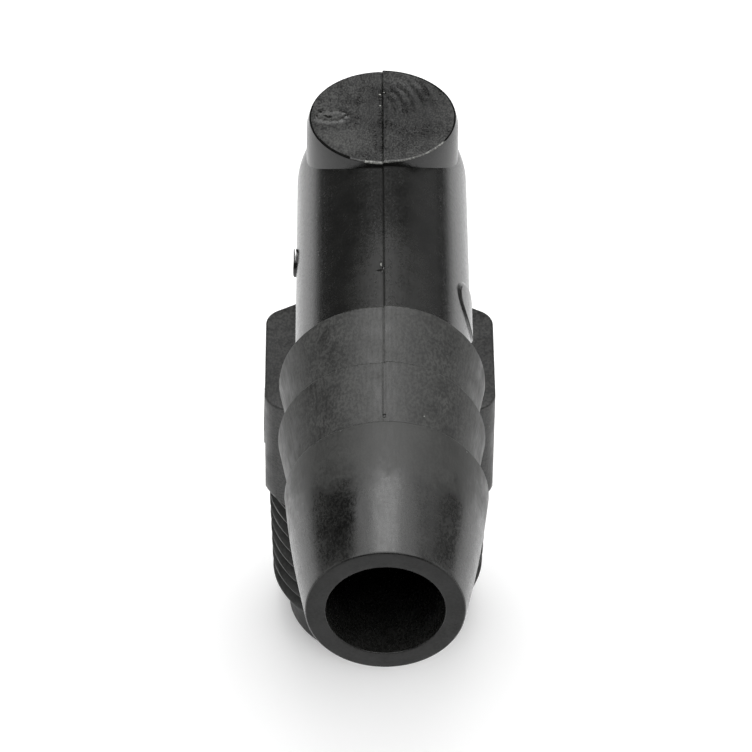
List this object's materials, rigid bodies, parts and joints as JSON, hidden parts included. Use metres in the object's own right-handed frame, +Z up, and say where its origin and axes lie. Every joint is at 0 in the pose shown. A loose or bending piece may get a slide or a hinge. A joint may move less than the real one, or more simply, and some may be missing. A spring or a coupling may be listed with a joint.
{
  "type": "barbed elbow fitting",
  "caption": "Right-angle elbow: tapered male pipe thread under a hexagon collar, turning into a ringed hose barb, bored through both legs.",
  "frame": {"origin": "centre of the threaded leg's end face, on the thread's axis", "axes": "+Z up the threaded leg from its end face, -Y along the hose barb towards its mouth, X across the parting plane"},
  "size_m": [0.0222, 0.0692, 0.0632],
  "materials": {
    "black_plastic": "black injection-moulded nylon or polypropylene with a satin surface"
  },
  "bodies": {
    "root": {"elbow_body": "black_plastic", "barb_ring_rear": "black_plastic", "barb_ring_middle": "black_plastic", "barb_lead_cone": "black_plastic", "hex_collar": "black_plastic", "male_thread": "black_plastic", "thread_pilot": "black_plastic"}
  },
  "joints": []
}
